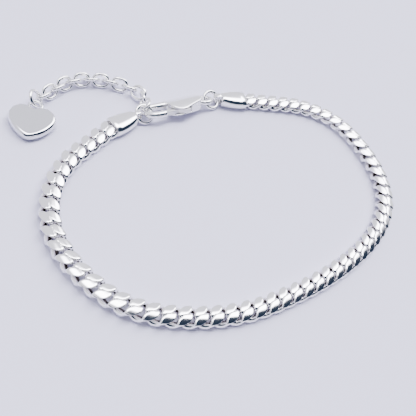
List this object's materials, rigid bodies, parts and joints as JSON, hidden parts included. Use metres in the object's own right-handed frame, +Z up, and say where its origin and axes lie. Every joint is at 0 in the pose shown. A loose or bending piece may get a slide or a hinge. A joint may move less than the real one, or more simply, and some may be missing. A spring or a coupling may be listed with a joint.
{
  "type": "link bracelet",
  "caption": "Closed curb-link bracelet with flat end caps, jump rings, a lobster clasp with a sprung lever, and an extender chain with a heart tag.",
  "frame": {"origin": "on the table, under the middle of the bracelet's outline as it lies", "axes": "+Z up from the table, +Y away from the picture's viewer, +X to the right; the clasp lies at -X +Y and the heart at -X -Y"},
  "size_m": [0.0668, 0.0623, 0.003],
  "materials": {
    "chain_silver": "polished",
    "cap_silver": "polished",
    "clasp_silver": "polished",
    "lever_silver": "polished",
    "ring_silver": "polished",
    "extender_silver": "polished",
    "heart_silver": "mirror polished"
  },
  "bodies": {
    "root": {"curb_chain": "chain_silver", "cap_left": "cap_silver", "cap_right": "cap_silver", "jump_ring_left": "ring_silver", "jump_ring_right": "ring_silver", "clasp_body": "clasp_silver", "ext_link_1": "extender_silver", "ext_link_2": "extender_silver", "ext_link_3": "extender_silver", "ext_link_4": "extender_silver", "ext_link_5": "extender_silver", "ext_link_6": "extender_silver", "ext_link_7": "extender_silver", "ext_link_8": "extender_silver", "ext_link_9": "extender_silver", "ext_link_10": "extender_silver", "ext_link_11": "extender_silver", "ext_link_12": "extender_silver", "ext_link_13": "extender_silver", "ext_link_14": "extender_silver", "heart_ring": "ring_silver", "heart_tag": "heart_silver"},
    "lever": {"clasp_lever": "lever_silver"}
  },
  "joints": [
    {"name": "clasp_lever_hinge", "type": "hinge", "parent": "root", "child": "lever", "pos_m": [-0.0107, 0.00999, 0.00179], "axis": [0.352, -0.2351, -0.906], "range_deg": [0, 20], "stiffness_Nm_per_rad": 0.002, "springref_deg": -17.19}
  ]
}
